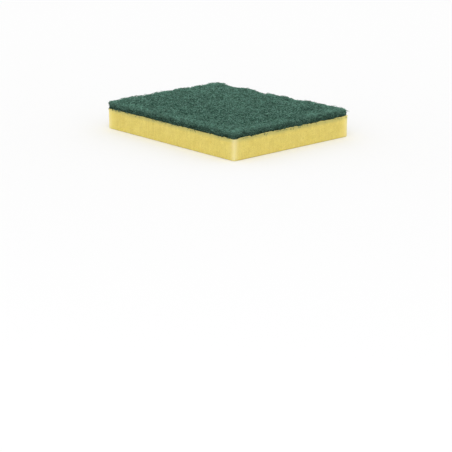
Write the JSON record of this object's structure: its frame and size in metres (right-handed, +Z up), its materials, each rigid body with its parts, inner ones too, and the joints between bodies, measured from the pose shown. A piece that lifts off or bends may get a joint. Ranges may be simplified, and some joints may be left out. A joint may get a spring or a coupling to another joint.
{
  "type": "cleaning sponge",
  "caption": "Flat rectangular cleaning sponge: a soft foam block with a coarse fibre scouring web bonded over its whole top face.",
  "frame": {"origin": "on the surface the sponge lies on, under the middle of the foam", "axes": "+X along the long side, +Y along the short side, +Z up through the foam to the scouring web"},
  "size_m": [0.1116, 0.09, 0.0183],
  "materials": {
    "foam": "matte open-cell foam, pale yellow",
    "scouring_web": "rough non-woven fibre web, dark green"
  },
  "bodies": {
    "root": {"foam_block": "foam", "scouring_pad": "scouring_web"}
  },
  "joints": []
}
